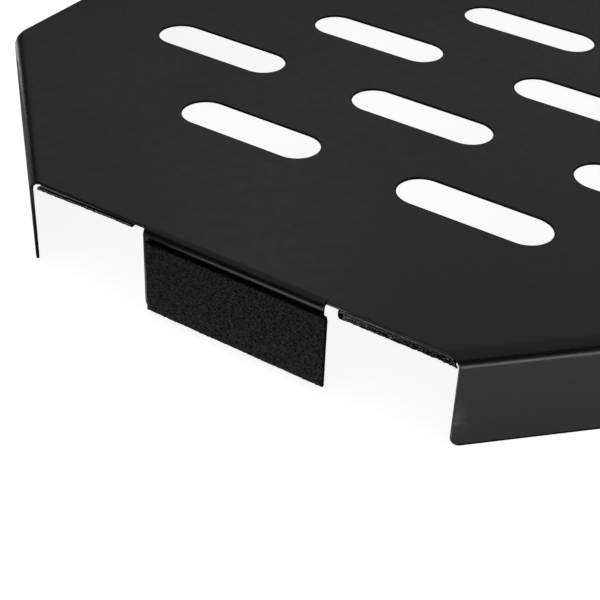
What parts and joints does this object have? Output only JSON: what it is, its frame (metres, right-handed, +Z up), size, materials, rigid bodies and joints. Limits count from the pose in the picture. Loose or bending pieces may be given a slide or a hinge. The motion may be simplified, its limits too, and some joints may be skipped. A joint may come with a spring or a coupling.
{
  "type": "pedalboard",
  "caption": "Low flat pedalboard tray of folded black sheet steel, with cut-off corners, slanted cable slots, and hook-and-loop pads on folded corner tabs.",
  "frame": {"origin": "on the floor, under the middle of the board", "axes": "+X along the board's length to its right, +Y to its rear, +Z up"},
  "size_m": [0.522, 0.293, 0.03],
  "materials": {
    "powder_coat": "satin, fine texture",
    "loop_tape": "dull black pile",
    "adhesive_film": "translucent grey"
  },
  "bodies": {
    "root": {"folded_sheet": "powder_coat", "pad_tape_front_left": "loop_tape", "side_strip_tape_front_left": "loop_tape", "long_strip_tape_front_left": "loop_tape", "pad_tape_front_right": "loop_tape", "side_strip_tape_front_right": "loop_tape", "long_strip_tape_front_right": "loop_tape", "pad_tape_rear_left": "loop_tape", "side_strip_tape_rear_left": "loop_tape", "long_strip_tape_rear_left": "loop_tape", "pad_tape_rear_right": "loop_tape", "side_strip_tape_rear_right": "loop_tape", "long_strip_tape_rear_right": "loop_tape", "pad_adhesive_front_left": "adhesive_film", "side_strip_adhesive_front_left": "adhesive_film", "long_strip_adhesive_front_left": "adhesive_film", "pad_adhesive_front_right": "adhesive_film", "side_strip_adhesive_front_right": "adhesive_film", "long_strip_adhesive_front_right": "adhesive_film", "pad_adhesive_rear_left": "adhesive_film", "side_strip_adhesive_rear_left": "adhesive_film", "long_strip_adhesive_rear_left": "adhesive_film", "pad_adhesive_rear_right": "adhesive_film", "side_strip_adhesive_rear_right": "adhesive_film", "long_strip_adhesive_rear_right": "adhesive_film"}
  },
  "joints": []
}
